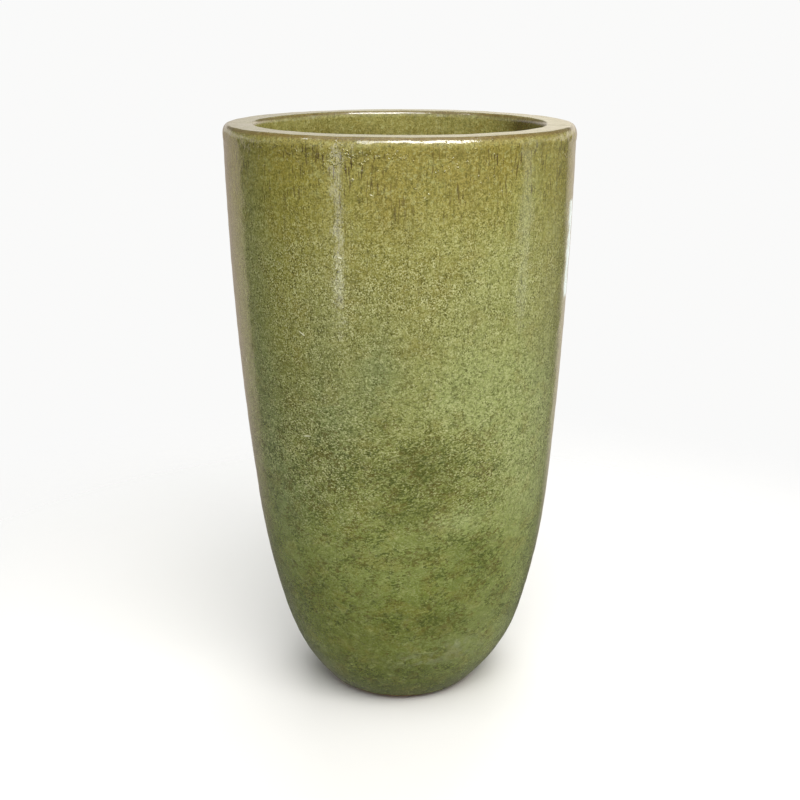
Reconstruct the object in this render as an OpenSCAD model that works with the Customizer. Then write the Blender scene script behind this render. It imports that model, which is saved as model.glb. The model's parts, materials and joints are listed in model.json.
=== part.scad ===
// Tall bullet-shaped planter: one thrown and fired terracotta vessel with a thick flat rim, a flat
// foot and a drain hole, under a fused green glaze that is laid on in three coats.
// Frame: +Z up along the pot's axis, origin at the middle of the foot, on the ground plane.

/* [Pot] */
// Outside diameter over the glazed rim band
rim_d = 450; // [442:1:460]
// Overall height, from the ground to the top of the glazed rim
height = 775; // [740:5:820]
// Diameter where the wall's curve meets the ground
foot_d = 204; // [194:1:210]

/* [Wall] */
// Thickness of the wall, glaze included
wall_t = 21; // [17:0.5:24]
// Thickness of the base above the ground plane
base_t = 30; // [26:1:38]
// Radius of the inside corner where the wall meets the floor
floor_r = 32; // [20:1:40]

/* [Rim] */
// Width of the flat rim from inside to outside, glaze included
rim_w = 40; // [34:1:44]
// Height of the raised band round the outside of the rim
band_h = 20; // [14:1:26]
// How far the band stands out from the wall
band_out = 0.8; // [0.4:0.1:1.5]
// Radius of the rim's outer arris
outer_arris = 7; // [4:0.5:9]
// Radius of the rim's inner arris
inner_arris = 4; // [2.5:0.5:6]
// Depth of the thick rim's straight inner face
rim_depth = 38; // [30:1:50]
// Height over which the thick rim thins down to the wall
rim_taper = 70; // [50:5:90]

/* [Foot and drain] */
// Radius of the foot's worn outer edge
foot_edge = 4; // [2:0.5:6]
// Width of the ring that the pot stands on
foot_ring = 26; // [18:1:34]
// Depth of the hollow inside the foot ring
foot_hollow = 4; // [2:0.5:6]
// Diameter of the drain hole
drain_d = 32; // [20:1:40]

/* [Glaze] */
// Thickness of the glaze
glaze_t = 1.2; // [0.8:0.1:2]
// Height of the bare clay between the ground and the outer glaze
glaze_gap = 7; // [5:0.5:12]
// Depth that the inner glaze reaches below the top of the rim
glaze_depth = 165; // [130:5:220]

/* [Hidden] */

clay_colour = [0.69, 0.42, 0.29];
outer_colour = [0.53, 0.53, 0.30];
rim_colour = [0.66, 0.60, 0.45];
inner_colour = [0.55, 0.56, 0.27];
revolve_fn = 180;

// The wall is a chain of three tangent arcs. Angles are the wall's lean from the vertical.
foot_lean = 46;
turn_lean = 16;
belly_lean = 5.4;
rim_lean = 0.4;
turn_steps = 12;
belly_steps = 8;
side_steps = 8;
arris_steps = 6;
taper_steps = 10;
edge_steps = 4;

foot_r = foot_d / 2;
rim_r = rim_d / 2;
band_z = height - band_h;
band_ease = 4;
turn_r = 242;

// The belly's and the side's radii follow from the width and the height that the chain has left.
width_left = rim_r - band_out - foot_r - turn_r * (cos(turn_lean) - cos(foot_lean));
height_left = band_z - turn_r * (sin(foot_lean) - sin(turn_lean));
belly_dx = cos(belly_lean) - cos(turn_lean);
belly_dz = sin(turn_lean) - sin(belly_lean);
side_dx = cos(rim_lean) - cos(belly_lean);
side_dz = sin(belly_lean) - sin(rim_lean);
spread = belly_dx * side_dz - side_dx * belly_dz;
belly_r = (width_left * side_dz - height_left * side_dx) / spread;
side_r = (belly_dx * height_left - belly_dz * width_left) / spread;

// Unit vector from an arc's centre to the wall where the wall leans by a.
function out(a) = [cos(a), -sin(a)];
turn_c = [foot_r, 0] - turn_r * out(foot_lean);
belly_c = turn_c + (turn_r - belly_r) * out(turn_lean);
side_c = belly_c + (belly_r - side_r) * out(belly_lean);

// Points of an arc from angle a to angle b, in the sense that out() gives.
function arc(c, r, a, b, steps) = [for (i = [0 : steps]) c + r * out(a + (b - a) * i / steps)];

// Drops the first of a list of points, where it repeats the last of the list before it.
function rest(points) = [for (i = [1 : len(points) - 1]) points[i]];
function reversed(points) = [for (i = [len(points) - 1 : -1 : 0]) points[i]];

// The wall from lean a up to the band, at a depth of inset under the glazed surface.
function wall(inset, a, steps = turn_steps) = concat(
    arc(turn_c, turn_r - inset, a, turn_lean, steps),
    rest(arc(belly_c, belly_r - inset, turn_lean, belly_lean, belly_steps)),
    rest(arc(side_c, side_r - inset, belly_lean, rim_lean, side_steps)));

// Centre of the fillet of radius r that joins the plane at height z to the wall's lowest arc.
function corner_c(inset, z, r) =
    [turn_c.x + sqrt(pow(turn_r - inset - r, 2) - pow(turn_c.y - z - r, 2)), z + r];
// The wall's lean where that fillet meets it.
function corner_lean(inset, z, r) =
    let (c = corner_c(inset, z, r)) atan2(turn_c.y - c.y, c.x - turn_c.x);
// The fillet itself, from the plane to the wall.
function corner(inset, z, r, steps) =
    arc(corner_c(inset, z, r), r, 90, corner_lean(inset, z, r), steps);

// The wall's lean at height z on its lowest arc.
function lean_at(inset, z) = asin((turn_c.y - z) / (turn_r - inset));
// The wall's radius at height z on its uppermost arc.
function side_at(inset, z) = side_c.x + (side_r - inset) * cos(asin((side_c.y - z) / (side_r - inset)));

// The rim's section at a depth of inset under the glaze: the two arrises and the flat between them.
inner_r = rim_r - rim_w;
function outer_corner(inset) = arc([rim_r - outer_arris, height - outer_arris],
    outer_arris - inset, 0, -90, arris_steps);
function inner_corner(inset) = arc([inner_r + inner_arris, height - inner_arris],
    inner_arris - inset, -90, -180, arris_steps);
// The band's outside face, from the top of the wall to the outer arris.
function band(inset) = [[rim_r - inset, band_z + band_ease], [rim_r - inset, height - outer_arris]];

// The inside face at height z, where the thick rim thins down to the wall.
taper_z = height - rim_depth;
function eased(t) = t * t * (3 - 2 * t);
function inside_at(z, inset) = let (t = min(1, max(0, (taper_z - z) / rim_taper)))
    inner_r + inset + (side_at(wall_t, z) - inner_r) * eased(t);
function inside_face(inset, z_end) = concat(
    [[inner_r + inset, height - inner_arris]],
    [for (i = [0 : taper_steps]) let (z = taper_z - rim_taper * i / taper_steps)
        if (z > z_end) [inside_at(z, inset), z]],
    [[inside_at(z_end, inset), z_end]]);

// The clay stands inside the glaze, and comes back to the full thickness below the inner glaze.
clay_z = height - glaze_depth;
clay_step = 3;
floor_lean = corner_lean(wall_t, base_t, floor_r);
inner_wall = [for (p = wall(wall_t, floor_lean)) if (p.y < clay_z - clay_step) p];
ring_r = corner_c(glaze_t, 0, foot_edge).x - foot_ring;
drain_r = drain_d / 2;

// The fired terracotta vessel, drilled for drainage.
module clay_body() {
    color(clay_colour) rotate_extrude($fn = revolve_fn) polygon(concat(
        [[drain_r, foot_hollow], [ring_r - foot_hollow, foot_hollow], [ring_r, 0]],
        corner(glaze_t, 0, foot_edge, edge_steps),
        rest(wall(glaze_t, corner_lean(glaze_t, 0, foot_edge))),
        band(glaze_t),
        rest(outer_corner(glaze_t)),
        inner_corner(glaze_t),
        rest(inside_face(glaze_t, clay_z)),
        [[side_at(wall_t, clay_z - clay_step), clay_z - clay_step]],
        reversed(inner_wall),
        rest(reversed(corner(wall_t, base_t, floor_r, edge_steps * 2))),
        [[drain_r, base_t]]));
}

// A coat between two lists of points that run the same way.
module coat(colour, face, back) {
    color(colour) rotate_extrude($fn = revolve_fn) polygon(concat(face, reversed(back)));
}

// The sprayed coat on the outside, from just above the foot to the outer arris.
module outer_glaze() {
    low = lean_at(glaze_t, glaze_gap);
    coat(outer_colour,
        concat(wall(0, low - 0.3), band(0)),
        concat(wall(glaze_t, low), band(glaze_t)));
}

// The coat over the flat of the rim and round both arrises.
module rim_glaze() {
    coat(rim_colour,
        concat(outer_corner(0), inner_corner(0)),
        concat(outer_corner(glaze_t), inner_corner(glaze_t)));
}

// The poured coat on the inside, from the inner arris down to the soil line.
module inner_glaze() {
    coat(inner_colour, inside_face(0, clay_z + clay_step), inside_face(glaze_t, clay_z));
}

clay_body();
outer_glaze();
rim_glaze();
inner_glaze();
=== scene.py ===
"""A tall bullet-shaped planter: a fired clay vessel under a mottled green glaze in three coats.

Everything is in metres and in the CAD model's frame: +Z up the pot's axis, with the origin at the
middle of the foot. Phi is the angle round the axis: 0 faces the camera, and it grows to the right.
"""

import json
import math
from functools import cached_property

import bpy
import numpy as np
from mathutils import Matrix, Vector, noise


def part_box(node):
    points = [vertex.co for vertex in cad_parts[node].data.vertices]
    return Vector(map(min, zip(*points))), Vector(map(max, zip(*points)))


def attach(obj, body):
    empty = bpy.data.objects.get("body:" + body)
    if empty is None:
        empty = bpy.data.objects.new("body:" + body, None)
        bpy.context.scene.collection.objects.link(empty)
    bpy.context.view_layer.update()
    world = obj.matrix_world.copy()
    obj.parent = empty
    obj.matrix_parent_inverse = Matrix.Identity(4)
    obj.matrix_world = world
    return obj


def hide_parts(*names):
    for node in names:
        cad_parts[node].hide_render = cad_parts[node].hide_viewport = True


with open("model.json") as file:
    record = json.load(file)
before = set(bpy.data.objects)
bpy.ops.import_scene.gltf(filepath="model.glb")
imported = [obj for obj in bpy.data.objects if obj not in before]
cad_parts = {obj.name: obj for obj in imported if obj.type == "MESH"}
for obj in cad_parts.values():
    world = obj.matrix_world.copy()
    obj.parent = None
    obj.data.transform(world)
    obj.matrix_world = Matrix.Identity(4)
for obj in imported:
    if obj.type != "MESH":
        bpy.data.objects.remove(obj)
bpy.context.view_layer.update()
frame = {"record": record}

# Sizes ------------------------------------------------------------------------------------------

MM = 0.001
MOUNTS = {mount["name"]: mount for mount in frame["record"]["mounts"]}

# From the frame
RIM_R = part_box("rim_glaze")[1].x
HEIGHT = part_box("rim_glaze")[1].z
GLAZE_T = RIM_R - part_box("clay_body")[1].x
OUTER_GLAZE_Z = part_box("outer_glaze")[0].z
INNER_GLAZE_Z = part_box("inner_glaze")[0].z
DRAIN_R = MOUNTS["drain_hole"]["dims"]["r_mm"] * MM
HOLE_LENGTH = MOUNTS["drain_hole"]["dims"]["length_mm"] * MM
FLOOR_Z = MOUNTS["drain_hole"]["pos_m"][2] + HOLE_LENGTH / 2
HOLLOW_Z = MOUNTS["drain_hole"]["pos_m"][2] - HOLE_LENGTH / 2
RING_MID_R = MOUNTS["foot"]["pos_m"][0]
FLAT_MID_R = MOUNTS["rim"]["pos_m"][0]

# The wall's section, as in the CAD: a chain of three tangent arcs, each from one lean to the next
FOOT_R = 102 * MM
TURN_R = 242 * MM
LEANS = [math.radians(a) for a in (46, 16, 5.4, 0.4)]
WALL_T = 21 * MM
BAND_Z = HEIGHT - 20 * MM
BAND_OUT = 0.8 * MM
BAND_EASE = 4 * MM
OUTER_ARRIS = 7 * MM
INNER_ARRIS = 4 * MM
# How far down the arrises roll over, which is further than the CAD's round ones
OUTER_ROLL = 13 * MM
INNER_ROLL = 9 * MM
MOUTH_R = 2 * FLAT_MID_R - (RIM_R - OUTER_ARRIS) - INNER_ARRIS
TAPER_Z = HEIGHT - 38 * MM
TAPER_H = 70 * MM
FLOOR_FILLET = 32 * MM
FOOT_EDGE = 4 * MM
HOLE_EDGE = 2 * MM
# Up to here inside, the wall has its full thickness, and above it makes room for the inner glaze
FULL_WALL_Z = INNER_GLAZE_Z - 45 * MM
FULL_WALL_H = 40 * MM

SEGMENTS = 384  # quads round the glaze coats
CLAY_SEGMENTS = 320  # quads round the clay
FINE = 0.4 * MM  # between the outline's points


# The section's outline --------------------------------------------------------------------------

def outward(lean):
    """Unit vector, across and up, out of the wall where the wall leans by that much."""
    return np.array([math.cos(lean), -math.sin(lean)])


def arc(centre, radius, start, end, step=FINE):
    """Points of an arc from one lean to another, about a step apart."""
    count = max(2, math.ceil(abs(end - start) * radius / step))
    return np.array([centre + radius * outward(a) for a in np.linspace(start, end, count + 1)])


def rolled(centre, across, down, start, end):
    """Points of an arris that rolls over more down the wall than across the rim's flat."""
    turn = np.linspace(start, end, 61)
    return centre + np.column_stack([across * np.cos(turn), down * np.sin(turn)])


def line(start, end):
    """Points of a straight line, both ends with it."""
    count = max(2, math.ceil(math.dist(start, end) / FINE))
    return np.linspace(start, end, count + 1)


def wall_arcs():
    """The centres and radii of the wall's three arcs, from the width and height they fill."""
    foot, turn, belly, rim = LEANS
    width = RIM_R - BAND_OUT - FOOT_R - TURN_R * (math.cos(turn) - math.cos(foot))
    height = BAND_Z - TURN_R * (math.sin(foot) - math.sin(turn))
    across = [math.cos(belly) - math.cos(turn), math.cos(rim) - math.cos(belly)]
    up = [math.sin(turn) - math.sin(belly), math.sin(belly) - math.sin(rim)]
    belly_r, side_r = np.linalg.solve([across, up], [width, height])
    turn_c = np.array([FOOT_R, 0]) - TURN_R * outward(foot)
    belly_c = turn_c + (TURN_R - belly_r) * outward(turn)
    side_c = belly_c + (belly_r - side_r) * outward(belly)
    return [(turn_c, TURN_R), (belly_c, belly_r), (side_c, side_r)]


ARCS = wall_arcs()


def wall(inset, start_lean):
    """The wall from a lean on its lowest arc up to the rim band, at a depth under the surface."""
    starts = [start_lean, LEANS[1], LEANS[2]]
    return np.vstack([arc(centre, radius - inset, start, end)
                      for (centre, radius), start, end in zip(ARCS, starts, LEANS[1:])])


def fillet(inset, z, radius):
    """(centre, lean at the wall) of the fillet from the plane at z to the wall's lowest arc."""
    centre, turn_r = ARCS[0]
    up = centre[1] - z - radius
    x = centre[0] + math.sqrt((turn_r - inset - radius) ** 2 - up ** 2)
    middle = np.array([x, z + radius])
    return middle, math.atan2(centre[1] - middle[1], x - centre[0])


def side_r(inset, z):
    """The wall's radius at height z on its uppermost arc."""
    centre, radius = ARCS[2]
    return centre[0] + np.sqrt((radius - inset) ** 2 - (centre[1] - z) ** 2)


def eased(t):
    """Runs smoothly from 0 to 1 as t does."""
    t = np.clip(t, 0, 1)
    return t * t * (3 - 2 * t)


def hump(distance, reach):
    """1 where the distance is nothing, and next to nothing past twice the reach."""
    return np.exp(-(distance / reach) ** 2)


def throat():
    """The inside of the thick rim down to where it has thinned to the wall, on the clay."""
    z = np.linspace(HEIGHT - INNER_ROLL, TAPER_Z - TAPER_H, 260)
    wider = side_r(WALL_T, z) - MOUTH_R
    return np.column_stack([MOUTH_R + GLAZE_T + wider * eased((TAPER_Z - z) / TAPER_H), z])


def inner_wall(end_lean):
    """The inside of the wall from the throat to a lean on its lowest arc."""
    points = wall(WALL_T, end_lean)[::-1]
    points = points[points[:, 1] < TAPER_Z - TAPER_H - FINE]
    under_glaze = eased((points[:, 1] - FULL_WALL_Z) / FULL_WALL_H)
    return points + np.column_stack([GLAZE_T * under_glaze, 0 * under_glaze])


class Outline:
    """The clay's closed outline, from the foot up the outside, over the rim, down the inside,
    through the drain hole and back under the foot. Places on it are distances along it."""

    def __init__(self):
        quarter = math.pi / 2
        foot_c, foot_lean = fillet(GLAZE_T, 0, FOOT_EDGE)
        floor_c, floor_lean = fillet(WALL_T, FLOOR_Z, FLOOR_FILLET)
        outer_c = np.array([RIM_R - OUTER_ARRIS, HEIGHT - OUTER_ROLL])
        inner_c = np.array([MOUTH_R + INNER_ARRIS, HEIGHT - INNER_ROLL])
        clay_top = HEIGHT - GLAZE_T
        floor_edge = DRAIN_R + HOLE_EDGE
        ring_in = 2 * RING_MID_R - foot_c[0]
        stretches = {
            "foot": arc(foot_c, FOOT_EDGE, quarter, foot_lean),
            "wall": wall(GLAZE_T, foot_lean),
            "band": line([RIM_R - GLAZE_T, BAND_Z + BAND_EASE],
                         [RIM_R - GLAZE_T, HEIGHT - OUTER_ROLL]),
            "outer_arris": rolled(outer_c, OUTER_ARRIS - GLAZE_T, OUTER_ROLL - GLAZE_T, 0, quarter),
            "flat": line([outer_c[0], clay_top], [inner_c[0], clay_top]),
            "inner_arris": rolled(inner_c, INNER_ARRIS - GLAZE_T, INNER_ROLL - GLAZE_T,
                                  quarter, 2 * quarter),
            "throat": throat(),
            "inside": inner_wall(floor_lean),
            "corner": arc(floor_c, FLOOR_FILLET, floor_lean, quarter),
            "floor": line([floor_c[0], FLOOR_Z], [floor_edge, FLOOR_Z]),
            "hole_top": arc(np.array([floor_edge, FLOOR_Z - HOLE_EDGE]), HOLE_EDGE,
                            -quarter, -2 * quarter, 0.1 * MM),
            "hole_foot": arc(np.array([floor_edge, HOLLOW_Z + HOLE_EDGE]), HOLE_EDGE,
                             2 * quarter, quarter, 0.1 * MM),
            "hollow": line([floor_edge, HOLLOW_Z], [ring_in - HOLLOW_Z, HOLLOW_Z]),
            "ring": line([ring_in, 0], [foot_c[0], 0]),
        }
        self.start = {}
        points = []
        for name, stretch in stretches.items():
            self.start[name] = len(points)
            points += [p for p in stretch if not points or math.dist(p, points[-1]) > 1e-6]
        points.append(points[0])
        self.points = np.array(points)
        steps = np.hypot(*np.diff(self.points, axis=0).T)
        self.along = np.concatenate([[0], np.cumsum(steps)])
        self.start = {name: self.along[i] for name, i in self.start.items()}
        self.length = self.along[-1]
        ahead = np.roll(self.points[:-1], -1, axis=0) - np.roll(self.points[:-1], 1, axis=0)
        ahead /= np.hypot(*ahead.T)[:, None]
        normals = np.column_stack([ahead[:, 1], -ahead[:, 0]])
        self.normals = np.vstack([normals, normals[:1]])

    def at(self, s):
        """(radius, height) and the outward normal's two parts at a distance along the outline."""
        s = np.mod(s, self.length)
        place = [np.interp(s, self.along, self.points[:, k]) for k in (0, 1)]
        normal = [np.interp(s, self.along, self.normals[:, k]) for k in (0, 1)]
        size = np.hypot(*normal)
        return place, [n / size for n in normal]

    def place_of_height(self, z, stretch, next_stretch):
        """The distance along the outline at height z, within one stretch."""
        s = np.linspace(self.start[stretch], self.start[next_stretch], 4000)
        return s[np.argmin(np.abs(self.at(s)[0][1] - z))]


outline = Outline()


# What the hand and the kiln did -----------------------------------------------------------------

def noise_at(points, size, seed=0, octaves=1):
    """Smooth noise from about -1 to 1 at each point, with features of about that size."""
    flat = np.asarray(points).reshape(-1, 3) / np.asarray(size) + seed * 17.3
    if octaves == 1:
        values = [noise.noise(p) for p in flat]
    else:
        values = [noise.fractal(p, 0.9, 2.1, octaves) for p in flat]
    return np.array(values).reshape(np.shape(points)[:-1])


BELLY_DRIFT = 4.6 * MM  # how far to the right the belly is off axis
RIM_DRIFT = 0.7 * MM  # how far to the left the rim is
RIM_FALL = 0.0020  # how steeply the rim falls to the right
RIM_WAVE = 0.4 * MM  # how far the rim rises and falls, twice round


def hand_made(x, y, z):
    """Moves points as the maker's hands left the pot: a little off axis in the belly, out of round,
    and with a rim that isn't quite level. The foot's underside stays flat."""
    height = z / HEIGHT
    phi = np.arctan2(x, -y)
    up = eased(height * 1.4)
    oval = 0.0014 * np.cos(2 * phi + 0.9) + 0.0009 * np.cos(3 * phi + 2.1)
    twist = 0.0010 * np.cos(2 * phi - 1.3 + 7 * height)
    round_by = 1 + up * (oval + twist)
    belly = hump(z - 130 * MM, 330 * MM) * (0.4 + 0.6 * eased(z / (90 * MM)))
    drift = BELLY_DRIFT * belly - RIM_DRIFT * up
    lift = height ** 3 * (RIM_WAVE * np.cos(2 * phi + 0.4) - RIM_FALL * x)
    return np.stack([x * round_by + drift, y * round_by, z + lift], axis=-1)


def surface(s, phi, raised):
    """Points of the hand-made pot at a distance along the outline, an angle, and a height above the
    clay's surface, each an array of the same shape or one that spreads to it."""
    (r, z), (nr, nz) = outline.at(s)
    r, z = r + nr * raised, z + nz * raised
    r, z, phi = np.broadcast_arrays(r, z, phi)
    return hand_made(r * np.sin(phi), -r * np.cos(phi), z)


def angles(count):
    """Evenly spaced angles, once round."""
    return np.arange(count) * (2 * math.pi / count)


def glaze_depth(s, phi):
    """How thick the glaze lies: even overall, with low swells, throwing ripples that show through,
    and lumps where it has crept over the rim's outer arris."""
    points = surface(s, phi, 0)
    z = points[..., 2]
    swell = 0.30 * noise_at(points, 0.070, seed=1) + 0.30 * noise_at(points, 0.024, seed=2)
    swell += 0.08 * noise_at(points, 0.011, seed=17)
    ripple = 0.06 * np.sin(z / (3.4 * MM) + 3 * noise_at(points, 0.09, seed=3))
    lumps = 0.8 * noise_at(points, 0.012, seed=4) + 0.7 * noise_at(points, 0.030, seed=5)
    on_arris = hump(s - outline.start["outer_arris"] - 1 * MM, 8 * MM)
    return GLAZE_T + MM * (swell + ripple + on_arris * lumps)


def bead(distance):
    """The glaze's thickness at a distance from its free edge, as a share of the full thickness: it
    ends in a rolled bead."""
    return 1 - np.exp(-distance / (0.9 * MM)) + 0.55 * hump(distance - 3 * MM, 2 * MM)


# Meshes -----------------------------------------------------------------------------------------

def spaced(start, end, step):
    """Places from start to end, about a step apart."""
    return np.linspace(start, end, max(2, round((end - start) / step)) + 1)


def grid_normals(grid):
    """Unit normals of a grid of points whose second direction runs once round the pot."""
    along = np.gradient(grid, axis=0)
    around = np.roll(grid, -1, axis=1) - np.roll(grid, 1, axis=1)
    normals = np.cross(around, along)
    return normals / np.linalg.norm(normals, axis=-1, keepdims=True)


def ring_mesh(name, rings, face_rings=0, face_normals=None):
    """A closed mesh of rings, each joined to the next and the last to the first. The first
    face_rings of them may carry normals of their own, so that two coats meet without a seam."""
    count, segments = rings.shape[:2]
    i, j = np.meshgrid(np.arange(count), np.arange(segments), indexing="ij")
    up, right = (i + 1) % count, (j + 1) % segments
    quads = np.stack([i * segments + j, i * segments + right, up * segments + right,
                      up * segments + j], axis=-1).reshape(-1, 4)
    mesh = bpy.data.meshes.new(name)
    mesh.from_pydata(rings.reshape(-1, 3).tolist(), [], quads.tolist())
    mesh.polygons.foreach_set("use_smooth", np.ones(len(quads), bool))
    if face_normals is not None:
        own = np.zeros((count * segments, 3))
        own[:face_rings * segments] = face_normals.reshape(-1, 3)
        loops = own[quads]
        loops[(face_rings - 1) * segments:] = 0
        mesh.normals_split_custom_set(loops.reshape(-1, 3).tolist())
    mesh.validate()
    piece = bpy.data.objects.new(name, mesh)
    bpy.context.scene.collection.objects.link(piece)
    return piece


def add_field(piece, name, values):
    """Stores a number for each of a piece's points, which its material reads by name."""
    attribute = piece.data.attributes.new(name, "FLOAT", "POINT")
    attribute.data.foreach_set("value", np.asarray(values, np.float32).ravel())


# Where the glaze changes ------------------------------------------------------------------------
# Patches are (degrees round, height in mm, half-width in degrees, half-height in mm, strength).

DARK_PATCHES = [
    (-4, 364, 17, 34, 0.75), (10, 390, 13, 26, 0.5), (1, 312, 14, 20, 0.85), (-26, 396, 12, 20, 0.1),
    (20, 350, 12, 22, 0.35), (33, 262, 8, 22, 0.45), (40, 224, 10, 20, 0.45), (-34, 330, 16, 60, 0.4),
    (-30, 210, 16, 45, 0.35), (-4, 258, 14, 16, 0.35), (20, 228, 9, 14, 0.4),
    (18, 160, 16, 22, 0.6), (14, 136, 12, 16, 0.35), (-12, 165, 18, 16, 0.3), (-48, 150, 14, 50, 0.4),
    (128, 400, 30, 70, 0.9), (150, 250, 22, 40, 0.8), (-120, 340, 28, 60, 0.9), (-150, 180, 24, 40, 0.6),
    (90, 180, 18, 40, 0.5), (-85, 480, 16, 50, 0.6), (175, 520, 20, 50, 0.5),
]
PALE_PATCHES = [
    (21, 303, 11, 20, 1.1), (54, 345, 16, 60, 0.9), (43, 446, 16, 55, 1.2), (24, 480, 20, 50, 0.9),
    (46, 250, 26, 320, 0.3), (66, 380, 14, 60, 0.9), (-20, 384, 8, 20, 0.4),
    (-4, 240, 24, 36, 0.35), (4, 110, 22, 26, 0.2), (62, 200, 14, 90, 0.5), (34, 600, 18, 80, 0.45),
    (58, 70, 22, 60, 1.0),
    (110, 300, 20, 50, 0.7), (-165, 420, 26, 70, 0.8), (-100, 200, 20, 50, 0.6), (140, 560, 24, 60, 0.5),
]
COOL_PATCHES = [
    (-7, 505, 8, 60, 0.9), (-22, 440, 10, 60, 0.8), (-26, 560, 7, 80, 0.5), (-52, 500, 10, 260, 1.0),
    (-44, 330, 14, 60, 0.6), (58, 450, 10, 70, 0.6), (64, 300, 12, 80, 0.5), (44, 700, 6, 60, 0.5),
    (100, 480, 14, 120, 0.8), (165, 330, 20, 60, 0.7), (-130, 560, 16, 120, 0.8), (-90, 280, 16, 70, 0.6),
]
CHALKY_PATCHES = [
    (12, 92, 16, 12, 0.8), (26, 112, 10, 8, 0.9), (34, 96, 8, 10, 0.6), (-62, 130, 12, 50, 0.9),
    (-50, 60, 12, 26, 0.8), (64, 90, 14, 40, 0.7), (140, 100, 20, 14, 0.8), (-110, 84, 18, 12, 0.7),
]
GOLDEN_PATCHES = [
    (-32, 700, 18, 110, 1.0), (-44, 560, 14, 70, 0.6), (-14, 110, 24, 60, 0.9), (56, 690, 12, 70, 0.8),
    (120, 680, 26, 90, 0.7), (-110, 640, 30, 90, 0.7), (170, 150, 26, 50, 0.6),
]
COARSE_PATCHES = [
    (-38, 560, 20, 110, 0.7), (-34, 390, 22, 110, 1.0), (-40, 220, 20, 70, 0.8), (6, 600, 22, 60, 0.4),
    (150, 420, 40, 160, 0.8), (-140, 360, 30, 120, 0.8), (100, 600, 30, 80, 0.5),
]
PIMPLY_PATCHES = [
    (-50, 760, 9, 8, 1.0), (-30, 756, 8, 9, 1.0), (-18, 754, 7, 11, 1.1), (-5, 754, 9, 8, 0.9),
    (16, 744, 7, 10, 0.6), (130, 750, 12, 10, 0.9), (-140, 746, 12, 12, 0.8),
]
# Painted shadow: the inside of the mouth darkened where the rim shades it, most on the right
MOUTH_SHADOW_PATCHES = [
    (105, 766, 17, 26, 2.2), (84, 764, 20, 20, 1.0), (-150, 740, 30, 18, 0.3), (170, 720, 30, 20, 0.3),
]

# Scuffs are (degrees round, height in mm, length in mm, width in mm, degrees down to the right).
SCUFFS = [
    (-32.3, 544, 12, 1.5, 30), (-32.8, 412, 14, 1.4, -10), (-66, 484, 12, 2.4, 82), (-18, 640, 6, 1.4, 20),
    (148, 470, 12, 1.6, 14), (-128, 300, 9, 1.6, -30), (96, 600, 8, 1.4, 60),
]


def patches(phi, z, places):
    """How strongly a point lies in any of the patches."""
    total = np.zeros(np.shape(phi))
    for degrees, height, width, tall, strength in places:
        turn = np.angle(np.exp(1j * (phi - math.radians(degrees))))
        total += strength * hump(turn, math.radians(width)) * hump(z - height * MM, tall * MM)
    return total


def add_glaze_fields(piece, points, s):
    """Gives a coat's points the fields that its material reads."""
    phi = np.arctan2(points[..., 0], -points[..., 1])
    z = points[..., 2]
    start = outline.start
    wander = 0.35 * (noise_at(points, 0.05, seed=6, octaves=3) + noise_at(points, 0.12, seed=7))
    inside = eased((s - start["flat"]) / (20 * MM))
    outside = 1 - inside
    mouth = eased((s - start["inner_arris"] - 2 * MM) / (6 * MM))
    dark = (patches(phi, z, DARK_PATCHES) + 0.7 * wander) * outside
    thin = hump(s - start["flat"] + 3.2 * MM, 3.2 * MM)
    thin = thin + hump(s - start["inner_arris"] - 2 * MM, 2.2 * MM)
    fields = {
        # Inside the mouth, the dark field holds only the painted shadow of the mouth.
        "dark": dark + patches(phi, z, MOUTH_SHADOW_PATCHES) * mouth,
        "pale": patches(phi, z, PALE_PATCHES) - 0.5 * wander,
        "cool": patches(phi, z, COOL_PATCHES) + 0.4 * wander,
        "chalky": patches(phi, z, CHALKY_PATCHES),
        "golden": patches(phi, z, GOLDEN_PATCHES),
        "coarse": patches(phi, z, COARSE_PATCHES) + 0.5 * wander,
        "pimply": patches(phi, z, PIMPLY_PATCHES) * outside,
        "thin": thin,
        "inside": inside,
    }
    for name, values in fields.items():
        add_field(piece, name, np.broadcast_to(np.clip(values, 0, 1), z.shape))


# The pieces -------------------------------------------------------------------------------------

def coat(name, face_s, back_s, face_raised):
    """One coat of glaze: a face that stands on the clay, and a back that lies on it."""
    phi = angles(SEGMENTS)[None, :]
    face = surface(face_s, phi, face_raised)
    back = surface(back_s, phi, 0)
    piece = ring_mesh(name, np.vstack([face, back]), len(face), grid_normals(face))
    every_s = np.vstack([np.broadcast_to(s, (len(s), SEGMENTS)) for s in (face_s, back_s)])
    add_glaze_fields(piece, np.vstack([face, back]), every_s)
    return piece


EDGE_STEPS_MM = [0, 0.3, 0.7, 1.2, 2, 3, 4, 5.5, 7.5, 10]  # of a coat's face from its free edge
BACK_STEP_IN = 0.4 * MM  # how far a coat's back stops short of its free edge


def edge_places(edge, start):
    """Places along the outline that step away from a wandering edge towards start, row by row."""
    reach = start - edge
    steps = np.array(EDGE_STEPS_MM)[:, None] * MM
    return edge + np.sign(reach) * np.minimum(steps, np.abs(reach))


def make_outer_coat():
    phi = angles(SEGMENTS)[None, :]
    low = outline.place_of_height(OUTER_GLAZE_Z, "wall", "band")
    around = surface(low, phi, 0)
    edge = low + MM * (1.5 * noise_at(around, 0.03, seed=8) + 2.2 * noise_at(around, 0.09, seed=9))
    top = outline.start["outer_arris"]
    near = edge_places(edge, top)
    share = spaced(0, 1, 4.3 * MM / (top - low))[1:, None]
    far = near[-1:] + share * (top - near[-1:])
    face_s = np.vstack([near, far])
    raised = glaze_depth(face_s, phi) * bead(face_s - edge)
    raised[0] = 0
    back_s = top + spaced(0, 1, 1 / 36)[:-1, None] * (edge + BACK_STEP_IN - top)
    return coat("outer_coat", face_s, back_s, raised)


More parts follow.
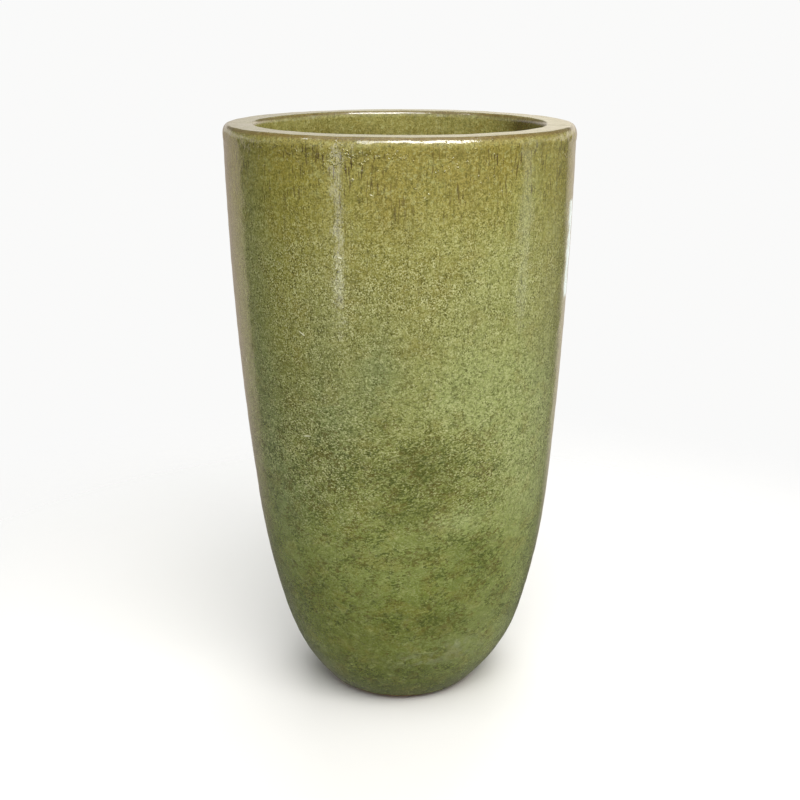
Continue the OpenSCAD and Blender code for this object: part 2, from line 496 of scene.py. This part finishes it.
def make_rim_coat():
    phi = angles(SEGMENTS)[None, :]
    start = outline.start
    face_s = np.concatenate([
        spaced(start["outer_arris"], start["flat"], 0.6 * MM)[:-1],
        spaced(start["flat"], start["inner_arris"], 1.8 * MM)[:-1],
        spaced(start["inner_arris"], start["throat"], 0.45 * MM)])[:, None]
    back_s = face_s[::-2]
    return coat("rim_coat", face_s, back_s, glaze_depth(face_s, phi))


def make_inner_coat():
    phi = angles(SEGMENTS)[None, :]
    top = outline.start["throat"]
    low = outline.place_of_height(INNER_GLAZE_Z, "throat", "corner")
    around = surface(low, phi, 0)
    edge = low + MM * (7 * noise_at(around, 0.09, seed=10) + 3 * noise_at(around, 0.03, seed=11))
    near = edge_places(edge, top)[::-1]
    far = top + spaced(0, 1, 2.8 * MM / (low - top))[:-1, None] * (near[:1] - top)
    face_s = np.vstack([far, near])
    raised = glaze_depth(face_s, phi) * bead(edge - face_s)
    raised[-1] = 0
    low_back = edge - BACK_STEP_IN
    back_s = low_back + spaced(0, 1, 1 / 16)[:-1, None] * (top - low_back)
    back_s = np.vstack([back_s, np.full((1, SEGMENTS), top)])
    return coat("inner_coat", face_s, back_s, raised)


def make_clay():
    """The vessel: throwing rings and tool marks where the clay is bare, plain under the glaze."""
    start = outline.start
    phi = angles(CLAY_SEGMENTS)[None, :]
    glaze_ends = outline.place_of_height(INNER_GLAZE_Z, "throat", "corner")
    stretches = [
        (0, 1.5), (start["wall"] + 12 * MM, 22), (start["outer_arris"], 1.4), (start["flat"], 6),
        (start["inner_arris"], 0.9), (start["throat"], 8), (glaze_ends - 20 * MM, 4),
        (start["corner"], 3), (start["floor"], 4), (start["hole_top"], 1.3), (start["hollow"], 4),
        (start["ring"], 4)]  # where each starts, and its step in mm
    ends = [place for place, step in stretches[1:]] + [outline.length]
    rows = [spaced(place, end, step * MM)[:-1] for (place, step), end in zip(stretches, ends)]
    s = np.concatenate(rows)[:, None]
    points = surface(s, phi, 0)
    bare_inside = eased((s - glaze_ends - 6 * MM) / (14 * MM))
    bare_inside = bare_inside * eased((start["hole_top"] - s) / (8 * MM))
    turns = (s - glaze_ends) / (11 * MM) - phi / (2 * math.pi)
    rings = np.cos(2 * math.pi * turns) * (0.55 + 0.25 * noise_at(points, 0.12, seed=12))
    finger = 0.5 * noise_at(points, 0.035, seed=13) + 0.12 * noise_at(points, 0.010, seed=14)
    hole = hump(s - (start["hole_top"] + start["hollow"]) / 2, 12 * MM)
    chatter = 0.25 * hole * noise_at(points, 0.006, seed=15)
    raised = MM * (bare_inside * (rings + finger) + chatter)
    piece = ring_mesh("fired_clay", surface(s, phi, raised))
    # Painted shade: the bare clay darkened beside the glaze's lower edge, where the foot's shadow line
    # falls.
    near_glaze = hump(points[..., 2] - OUTER_GLAZE_Z, 7 * MM)
    foot_edge_shade = near_glaze * (1 + 0.4 * noise_at(points, 0.04, seed=16))
    add_field(piece, "foot_edge_shade", np.clip(foot_edge_shade, 0, 1))
    return piece


# Materials --------------------------------------------------------------------------------------

def srgb(red, green, blue):
    """A colour given as it looks on a screen, 0 to 255, in the linear values that shaders use."""
    def linear(c):
        c /= 255
        return c / 12.92 if c <= 0.04045 else ((c + 0.055) / 1.055) ** 2.4
    return (linear(red), linear(green), linear(blue), 1)


class Shader:
    """A node tree, with short calls that add its nodes and join them. Each call's result is an
    output socket, and a number or a colour may stand wherever a call takes one."""

    def __init__(self, owner):
        owner.use_nodes = True
        self.tree = owner.node_tree

    def node(self, kind, settings=None, **inputs):
        made = self.tree.nodes.new("ShaderNode" + kind)
        for name, value in (settings or {}).items():
            setattr(made, name, value)
        for name, value in inputs.items():
            self.plug(made.inputs[name.replace("_", " ")], value)
        return made

    def plug(self, socket, value):
        if isinstance(value, bpy.types.NodeSocket):
            self.tree.links.new(value, socket)
        else:
            socket.default_value = value

    def math(self, operation, *values):
        made = self.node("Math", {"operation": operation})
        for socket, value in zip(made.inputs, values):
            self.plug(socket, value)
        return made.outputs[0]

    def times(self, first, *others):
        """The product of all the values."""
        for other in others:
            first = self.math("MULTIPLY", first, other)
        return first

    def scaled(self, value, factor, offset):
        """The value times a factor, plus an offset."""
        return self.math("MULTIPLY_ADD", value, factor, offset)

    def length(self, vector):
        return self.node("VectorMath", {"operation": "LENGTH"}, Vector=vector).outputs["Value"]

    def step(self, value, low, high, out_low=0.0, out_high=1.0):
        """Runs smoothly from out_low to out_high as value goes from low to high."""
        made = self.node("MapRange", {"interpolation_type": "SMOOTHSTEP"}, Value=value,
                         From_Min=low, From_Max=high, To_Min=out_low, To_Max=out_high)
        return made.outputs["Result"]

    def mix(self, factor, a, b):
        made = self.node("Mix", {"data_type": "RGBA"}, Factor=factor, A=a, B=b)
        return made.outputs["Result"]

    def tint(self, base, colour, *shares):
        """The base colour, moved towards another colour by the product of the shares."""
        return self.mix(self.times(*shares), base, colour)

    @cached_property
    def coordinates(self):
        """The object's own coordinates, in metres."""
        return self.node("TexCoord").outputs["Object"]

    @cached_property
    def height(self):
        """Height above the ground, in metres."""
        return self.node("SeparateXYZ", Vector=self.coordinates).outputs["Z"]

    def place(self, width_mm, height_mm, centre=(0, 0, 0), turn=(0, 0, 0)):
        """Object coordinates from a centre, in units of a feature's width across and height up,
        along axes turned by those degrees."""
        made = self.node("Mapping", {"vector_type": "TEXTURE"}, Vector=self.coordinates,
                         Location=centre, Rotation=[math.radians(a) for a in turn],
                         Scale=(width_mm * MM, width_mm * MM, height_mm * MM))
        return made.outputs["Vector"]

    def noise(self, width_mm, height_mm, detail=0.0, roughness=0.5, distortion=0.0, tilt=0):
        """Smooth noise of about 0.25 to 0.75, with features of that width and height, which tilt
        down to the right by those degrees on the pot's front."""
        made = self.node("TexNoise", Vector=self.place(width_mm, height_mm, turn=(0, tilt, 0)),
                         Scale=1.0, Detail=detail, Roughness=roughness, Distortion=distortion)
        return made.outputs["Fac"]

    def field(self, name):
        """A number that the piece's points carry."""
        return self.node("Attribute", {"attribute_name": name}).outputs["Fac"]

    def ramp(self, value, stops):
        """A colour for each place along value, blended between the stops."""
        made = self.node("ValToRGB", Fac=value)
        elements = made.color_ramp.elements
        while len(elements) < len(stops):
            elements.new(0.5)
        for element, (place, colour) in zip(elements, stops):
            element.position = place
            element.color = colour
        return made.outputs["Color"]


# The glaze's ground colour from the foot, at 0, to the rim, at 1. It darkens towards the foot, partly the
# glaze's own green and partly painted shade of the lower pot.
GROUND_COLOURS_AND_FOOT_SHADE = [
    (0.00, srgb(79, 89, 29)), (0.12, srgb(91, 102, 37)), (0.30, srgb(111, 123, 50)),
    (0.50, srgb(129, 135, 68)), (0.70, srgb(133, 132, 66)), (0.86, srgb(138, 133, 60)),
    (0.96, srgb(136, 124, 52)),
]
CLAY_COLOURS = [(0.30, srgb(150, 88, 58)), (0.50, srgb(176, 108, 74)), (0.70, srgb(192, 128, 92))]
SLANT = -18  # degrees down to the right, so the mottle rises to the right on the front


def glaze_ground(sh, share):
    """The glaze's ground colour: by height, with the broad changes of tint over it. Its darkening towards
    the foot is partly painted shade, and inside the mouth it ends in painted shadow.
    Here and below, share is the height as a share of the pot's."""
    wander = sh.scaled(sh.noise(60, 80, 3), 0.16, -0.08)
    # Painted shade: the ramp darkens towards the foot as well as turning greener.
    base = sh.ramp(sh.math("ADD", share, wander), GROUND_COLOURS_AND_FOOT_SHADE)
    base = sh.tint(base, srgb(137, 132, 72), sh.field("inside"))
    base = sh.tint(base, srgb(114, 134, 92), sh.field("cool"), 0.5)
    base = sh.tint(base, srgb(160, 172, 110), sh.field("pale"), 0.6)
    gold = sh.mix(share, srgb(84, 96, 18), srgb(142, 134, 34))
    base = sh.tint(base, gold, sh.field("golden"), 0.45)
    warm = sh.step(sh.noise(34, 26, 3, 0.6), 0.50, 0.66)
    base = sh.tint(base, srgb(130, 114, 42), warm, 0.26)
    ragged = sh.step(sh.math("ADD", sh.field("dark"), sh.noise(20, 12, 4, 0.65)), 0.60, 1.50)
    browner = sh.step(sh.noise(40, 26, 4), 0.45, 0.62)
    base = sh.tint(base, srgb(100, 86, 34), ragged, browner, 0.25)
    base = sh.tint(base, srgb(78, 88, 34), ragged, 0.34)
    mottle = sh.noise(15, 11, 4, 0.65, tilt=SLANT)
    much = sh.step(share, 0.18, 0.42, 0.46, 0.32)
    base = sh.tint(base, srgb(82, 88, 32), sh.step(mottle, 0.48, 0.30), much)
    base = sh.tint(base, srgb(154, 160, 98), sh.step(mottle, 0.52, 0.70), much)
    # Painted shadow: dark brown inside the mouth, from the mouth's shadow patches.
    return sh.tint(base, srgb(52, 32, 14), sh.field("inside"), sh.field("dark"), 0.92)


def add_curdle(sh, base, share):
    """Clots a few millimetres wide, dark and pale, where the glaze has run thick and thin. They are
    fainter towards the foot."""
    clots = sh.noise(4.6, 3.8, 2.0, 0.6, 0.6, tilt=SLANT)
    much = sh.times(sh.step(share, 0.26, 0.50, 0.25, 1.0), sh.step(sh.field("pale"), 0.0, 1.0, 0.8, 1.25))
    base = sh.tint(base, srgb(64, 70, 22), sh.step(clots, 0.50, 0.34), much, 0.46)
    fewer = sh.step(sh.field("dark"), 0.2, 0.9, 1.0, 0.3)
    return sh.tint(base, srgb(184, 188, 134), sh.step(clots, 0.52, 0.68), much, fewer, 0.42)


def add_grain(sh, base, share):
    """Fine pale and dark specks, wider towards the foot, thick in some places and thin in others.
    Returns the colour and the grain itself."""
    grain = sh.mix(sh.step(share, 0.45, 0.80), sh.noise(2.6, 1.8, 2.0, 0.7), sh.noise(1.7, 1.9, 2.0, 0.7))
    strength = sh.times(
        sh.step(share, 0.30, 0.52, 0.25, 1.0),
        sh.step(share, 0.76, 0.95, 1.0, 0.68),
        sh.step(sh.noise(13, 11, 3, 0.6), 0.34, 0.60, 0.60, 1.30),
        sh.step(sh.field("coarse"), 0.0, 1.0, 1.0, 1.6),
        sh.step(sh.field("pale"), 0.3, 1.0, 1.0, 0.85))
    base = sh.tint(base, srgb(66, 64, 18), sh.step(grain, 0.50, 0.34), strength, 0.78)
    few = sh.times(sh.step(sh.field("dark"), 0.2, 1.0, 1.0, 0.55), sh.step(share, 0.84, 0.97, 1.0, 0.6))
    fleck = sh.mix(sh.step(share, 0.80, 0.96), srgb(194, 194, 146), srgb(186, 174, 104))
    return sh.tint(base, fleck, sh.step(grain, 0.50, 0.68), strength, few, 0.72), grain


def add_dashes(sh, base, share):
    """Broken dark marks that lie across the lower pot, in clusters that leave smoother glaze between.
    Returns the colour and the marks' own relief."""
    marks = sh.noise(5.2, 2.7, 3.0, 0.66, 0.8, tilt=-16)
    crowd = sh.scaled(sh.field("dark"), 0.22, sh.noise(30, 20, 3, 0.6))
    amount = sh.step(crowd, 0.38, 0.70)
    limit = sh.scaled(amount, 0.10, 0.40)
    dash = sh.times(
        sh.step(sh.math("SUBTRACT", limit, marks), -0.04, 0.05),
        sh.step(amount, -0.2, 0.6),
        sh.step(share, 0.80, 0.48),
        sh.step(sh.field("pale"), 0.4, 1.0, 1.0, 0.5))
    colour = sh.mix(sh.step(sh.noise(19, 14, 2), 0.42, 0.60), srgb(62, 72, 18), srgb(84, 76, 24))
    base = sh.tint(base, colour, dash, 0.74)
    wisps = sh.times(sh.step(marks, 0.54, 0.68), sh.step(share, 0.62, 0.40))
    return sh.tint(base, srgb(152, 166, 92), wisps, 0.26), marks


def add_streaks(sh, base, share):
    """Brown runs that fall from just under the rim on the outside, and faint tall lines over most of
    the upper pot."""
    near_rim = sh.times(
        sh.step(share, 0.80, 0.97),
        sh.math("SUBTRACT", 1.0, sh.field("inside")),
        sh.step(sh.height, HEIGHT - 4 * MM, HEIGHT - 14 * MM))
    sparse = sh.step(sh.noise(26, 60, 1), 0.40, 0.60, 0.25, 1.0)
    runs = sh.step(sh.noise(1.9, 17, 1.5, 0.5), 0.44, 0.34)
    base = sh.tint(base, srgb(64, 48, 12), runs, near_rim, sparse, 0.85)
    faint = sh.step(sh.noise(2.6, 90, 2), 0.46, 0.34)
    return sh.tint(base, srgb(70, 66, 16), faint, sh.step(share, 0.45, 0.7), 0.22)


def add_scuffs(sh, base):
    """Short pale scratches, where something hard has scraped the glaze."""
    for degrees, height, length, width, slope in SCUFFS:
        phi = math.radians(degrees)
        r = side_r(0, height * MM)
        centre = (r * math.sin(phi), -r * math.cos(phi), height * MM)
        from_middle = sh.length(sh.place(length / 2, width / 2, centre, (0, slope, degrees)))
        base = sh.tint(base, srgb(228, 228, 198), sh.step(from_middle, 1.0, 0.6), 0.95)
    return base


def glaze_relief(sh, share, grain, marks):
    """The normals of the clear top and of the glaze under it. The top has an orange peel and pimples
    below the rim, and the glaze under it the marks and the grain as well."""
    peel = sh.node("Bump", Height=sh.noise(7, 7, 3, 0.6), Strength=0.6, Distance=0.40 * MM)
    bumpy = sh.scaled(sh.field("pimply"), 0.19, sh.noise(5, 5, 1))
    outside = sh.math("SUBTRACT", 1.0, sh.field("inside"))
    pimples = sh.times(sh.step(bumpy, 0.69, 0.78), sh.step(share, 0.84, 0.97), outside)
    top = sh.node("Bump", Height=pimples, Strength=1.0, Distance=0.5 * MM,
                  Normal=peel.outputs["Normal"])
    relief = sh.times(marks, sh.step(share, 0.80, 0.55))
    worn = sh.node("Bump", Height=relief, Strength=0.8, Distance=1.0 * MM,
                   Normal=top.outputs["Normal"])
    felt = sh.node("Bump", Height=grain, Strength=0.5, Distance=0.15 * MM,
                   Normal=worn.outputs["Normal"])
    return top.outputs["Normal"], felt.outputs["Normal"]


def glaze_material():
    """Glossy glaze: olive gold with fine vertical brown streaks under the rim, granular green below,
    and near the foot a smooth green with broken dark dashes. It is a little rough under a clear
    glassy top."""
    material = bpy.data.materials.new("green_glaze")
    sh = Shader(material)
    inputs = sh.tree.nodes["Principled BSDF"].inputs
    share = sh.math("DIVIDE", sh.height, HEIGHT)
    base = add_curdle(sh, glaze_ground(sh, share), share)
    base, grain = add_grain(sh, base, share)
    base, marks = add_dashes(sh, base, share)
    base = add_streaks(sh, base, share)
    bloom = sh.step(sh.noise(12, 9, 3), 0.42, 0.60)
    base = sh.tint(base, srgb(138, 142, 116), sh.field("chalky"), bloom, 0.5)
    base = sh.tint(base, srgb(82, 56, 26), sh.field("thin"), 0.7)
    sh.plug(inputs["Base Color"], add_scuffs(sh, base))
    sh.plug(inputs["Roughness"], sh.step(sh.noise(16, 16, 3), 0.35, 0.70, 0.16, 0.30))
    inputs["IOR"].default_value = 1.5
    inputs["Coat Weight"].default_value = 1.0
    inputs["Coat Roughness"].default_value = 0.03
    inputs["Coat IOR"].default_value = 1.6
    top_normal, normal = glaze_relief(sh, share, grain, marks)
    sh.plug(inputs["Normal"], normal)
    sh.plug(inputs["Coat Normal"], top_normal)
    return material


def clay_material():
    """Bare fired terracotta: sandy, with pale salts, and with painted shade darkening it beside the
    glaze's lower edge.
    """
    material = bpy.data.materials.new("terracotta")
    sh = Shader(material)
    inputs = sh.tree.nodes["Principled BSDF"].inputs
    broad = sh.noise(55, 40, 4, 0.6)
    base = sh.ramp(broad, CLAY_COLOURS)
    base = sh.tint(base, srgb(208, 176, 146), sh.step(sh.noise(14, 10, 4), 0.52, 0.70), 0.4)
    # Painted shade beside the glaze's lower edge, near the foot.
    base = sh.tint(base, srgb(76, 64, 40), sh.field("foot_edge_shade"), 0.92)
    sand = sh.noise(1.6, 1.6, 2, 0.7)
    base = sh.tint(base, srgb(104, 60, 40), sh.step(sand, 0.46, 0.36), 0.35)
    base = sh.tint(base, srgb(216, 176, 138), sh.step(sand, 0.60, 0.70), 0.4)
    sh.plug(inputs["Base Color"], base)
    sh.plug(inputs["Roughness"], sh.step(broad, 0.3, 0.7, 0.78, 0.92))
    grit = sh.node("Bump", Height=sand, Strength=0.6, Distance=0.25 * MM)
    sh.plug(inputs["Normal"], grit.outputs["Normal"])
    return material


# The studio -------------------------------------------------------------------------------------

FLOOR_R = 1.3
FLOOR_FADE = (0.35, 1.25)  # the distances from the pot's axis between which the floor fades out
PLAIN_WHITE = (0.955, 0.955, 0.95, 1)

# What the glaze mirrors, as (degrees round from the pot's front, colour), with minus to the left:
# the yard below the horizon, the bright horizon and the trees over it
YARD = [
    (-180, (0.42, 0.37, 0.31)), (-152, (0.42, 0.35, 0.29)), (-124, (0.56, 0.48, 0.35)),
    (-121.5, (0.09, 0.10, 0.07)), (-88, (0.09, 0.10, 0.07)), (-55, (0.26, 0.24, 0.20)),
    (50, (0.26, 0.25, 0.22)), (75, (0.18, 0.18, 0.13)), (104, (0.24, 0.24, 0.18)),
    (124, (0.24, 0.24, 0.17)), (132, (0.10, 0.10, 0.07)), (140, (0.12, 0.11, 0.08)),
    (146, (0.62, 0.54, 0.44)), (180, (0.50, 0.43, 0.36)),
]
HORIZON = [
    (-180, (0.74, 0.69, 0.57)), (-175, (0.66, 0.61, 0.53)), (-171, (0.60, 0.55, 0.49)),
    (-120, (0.72, 0.66, 0.57)), (-90, (0.40, 0.40, 0.36)), (90, (0.45, 0.45, 0.40)),
    (120, (0.86, 0.78, 0.66)), (171, (0.88, 0.80, 0.67)), (180, (0.74, 0.69, 0.57)),
]
TREES = [
    (-180, (0.13, 0.13, 0.11)), (-100, (0.20, 0.20, 0.17)), (-60, (0.55, 0.56, 0.55)),
    (60, (0.60, 0.61, 0.60)), (100, (0.25, 0.25, 0.22)), (180, (0.13, 0.13, 0.11)),
]
GROUND = (0.12, 0.12, 0.09, 1)
SKY = (0.80, 0.84, 0.90, 1)

AT_RIM = (0, 0, HEIGHT * 0.8)
AT_LOW = (0, 0, 0.3)
# Lights are (name, place, aim, width, height, watts, colour, whether the glaze mirrors them).
LIGHTS = [
    ("key", (0.77, -1.66, 2.40), AT_RIM, 2.0, 0.9, 63, (1.0, 0.98, 0.95), True),
    ("overhead", (0.2, -0.9, 2.6), AT_LOW, 1.6, 1.4, 20, (0.98, 0.99, 1.0), False),
    ("front_left", (-0.46, -1.80, 2.35), AT_RIM, 0.9, 0.7, 11, (1, 1, 1), True),
    ("glint_left", (-1.29, -0.50, 1.98), AT_RIM, 0.24, 0.24, 1.2, (1, 1, 1), True),
    ("left_strip", (-1.10, -1.44, 0.88), (0, 0, 0.88), 0.12, 1.65, 1.5, (1, 1, 1), True),
    ("right_strip", (1.75, -0.20, 0.95), (0, 0, 0.95), 0.30, 1.80, 0.9, (0.90, 0.96, 1.0), True),
    ("back_strip", (0.66, 1.02, 0.40), (0, 0, 0.50), 0.24, 0.22, 0.14, (0.70, 0.90, 1.0), True),
    ("right_fill", (1.7, 0.3, 0.4), (0, 0, 0.4), 1.0, 0.8, 6.5, (1.0, 0.97, 0.86), False),
    ("back_fill", (0.1, 1.7, 2.2), AT_LOW, 2.2, 1.6, 44, (1, 1, 1), False),
]

CAMERA_BACK = 1.551
CAMERA_ABOVE_RIM = 0.1234
CAMERA_DOWN = 17.75  # degrees below the horizontal
LENS_MM = 53.4
SENSOR_MM = 36


def floor_material():
    """Plain pale floor that fades out into the backdrop."""
    material = bpy.data.materials.new("pale_floor")
    sh = Shader(material)
    pale = sh.tree.nodes["Principled BSDF"]
    pale.inputs["Base Color"].default_value = (0.70, 0.69, 0.67, 1)
    pale.inputs["Roughness"].default_value = 0.9
    clear = sh.node("BsdfTransparent")
    both = sh.node("MixShader", Fac=sh.step(sh.length(sh.coordinates), *FLOOR_FADE))
    sh.plug(both.inputs[1], pale.outputs[0])
    sh.plug(both.inputs[2], clear.outputs[0])
    sh.plug(sh.tree.nodes["Material Output"].inputs["Surface"], both.outputs[0])
    return material


def make_floor():
    mesh = bpy.data.meshes.new("floor")
    rim = [(FLOOR_R * math.sin(a), FLOOR_R * math.cos(a), 0) for a in angles(96)]
    mesh.from_pydata(rim, [], [list(range(len(rim)))[::-1]])
    mesh.materials.append(floor_material())
    floor = bpy.data.objects.new("floor", mesh)
    floor.visible_glossy = False
    bpy.context.scene.collection.objects.link(floor)


def around(sh, turn, places):
    """A colour by the share of a turn: 0.5 is in front of the pot."""
    return sh.ramp(turn, [(degrees / 360 + 0.5, (*colour, 1)) for degrees, colour in places])


def make_world():
    """Plain pale backdrop. What the glaze mirrors is a yard: dark shrubs on both sides, and behind
    the pot warm paving and a bright horizon under dark trees."""
    world = bpy.data.worlds.new("studio")
    bpy.context.scene.world = world
    sh = Shader(world)
    parts = sh.node("SeparateXYZ", Vector=sh.node("TexCoord").outputs["Generated"]).outputs
    up = parts["Z"]
    angle = sh.math("ARCTAN2", parts["X"], sh.math("MULTIPLY", parts["Y"], -1.0))
    turn = sh.math("ADD", sh.math("DIVIDE", angle, 2 * math.pi), 0.5)
    # The shrubs spread out towards the ground
    spread = sh.scaled(up, 0.142, 1.014)
    low_turn = sh.scaled(sh.math("SUBTRACT", turn, 0.5), spread, 0.5)
    below = sh.mix(sh.step(up, -0.52, -0.26), GROUND, around(sh, low_turn, YARD))
    above = sh.mix(sh.step(up, 0.13, 0.22), around(sh, turn, HORIZON), around(sh, turn, TREES))
    above = sh.mix(sh.step(up, 0.75, 0.95), above, SKY)
    lit = sh.tree.nodes["Background"]
    sh.plug(lit.inputs["Color"], sh.mix(sh.step(up, -0.01, 0.03), below, above))
    plain = sh.node("Background", Color=PLAIN_WHITE, Strength=1.0)
    both = sh.node("MixShader", Fac=sh.node("LightPath").outputs["Is Camera Ray"])
    sh.plug(both.inputs[1], lit.outputs[0])
    sh.plug(both.inputs[2], plain.outputs[0])
    sh.plug(sh.tree.nodes["World Output"].inputs["Surface"], both.outputs[0])


def add_light(name, place, aim, width, height, watts, colour, mirrored):
    """A soft rectangular light that points at a place and that the camera doesn't see."""
    data = bpy.data.lights.new(name, "AREA")
    data.shape = "RECTANGLE"
    data.size = width
    data.size_y = height
    data.energy = watts
    data.color = colour
    light = bpy.data.objects.new(name, data)
    bpy.context.scene.collection.objects.link(light)
    light.location = place
    light.rotation_mode = "QUATERNION"
    light.rotation_quaternion = (Vector(aim) - Vector(place)).to_track_quat("-Z", "Y")
    light.visible_camera = False
    light.visible_glossy = mirrored


def make_camera():
    """Stands in front of the pot and looks down on it."""
    data = bpy.data.cameras.new("camera")
    data.lens = LENS_MM
    data.sensor_width = SENSOR_MM
    camera = bpy.data.objects.new("camera", data)
    bpy.context.scene.collection.objects.link(camera)
    camera.location = (0, -CAMERA_BACK, HEIGHT + CAMERA_ABOVE_RIM)
    camera.rotation_euler = (math.radians(90 - CAMERA_DOWN), 0, 0)
    bpy.context.scene.camera = camera


# The scene --------------------------------------------------------------------------------------

make_camera()
make_floor()
make_world()
for light in LIGHTS:
    add_light(*light)
bpy.context.scene.view_settings.view_transform = "Standard"

clay = clay_material()
glaze = glaze_material()
PIECES = [
    (make_clay, clay, "clay_body", "terracotta"),
    (make_outer_coat, glaze, "outer_glaze", "outer_glaze"),
    (make_rim_coat, glaze, "rim_glaze", "rim_glaze"),
    (make_inner_coat, glaze, "inner_glaze", "inner_glaze"),
]
for make, material, node, slot in PIECES:
    piece = make()
    piece.data.materials.append(material)
    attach(piece, "root")
    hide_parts(node)
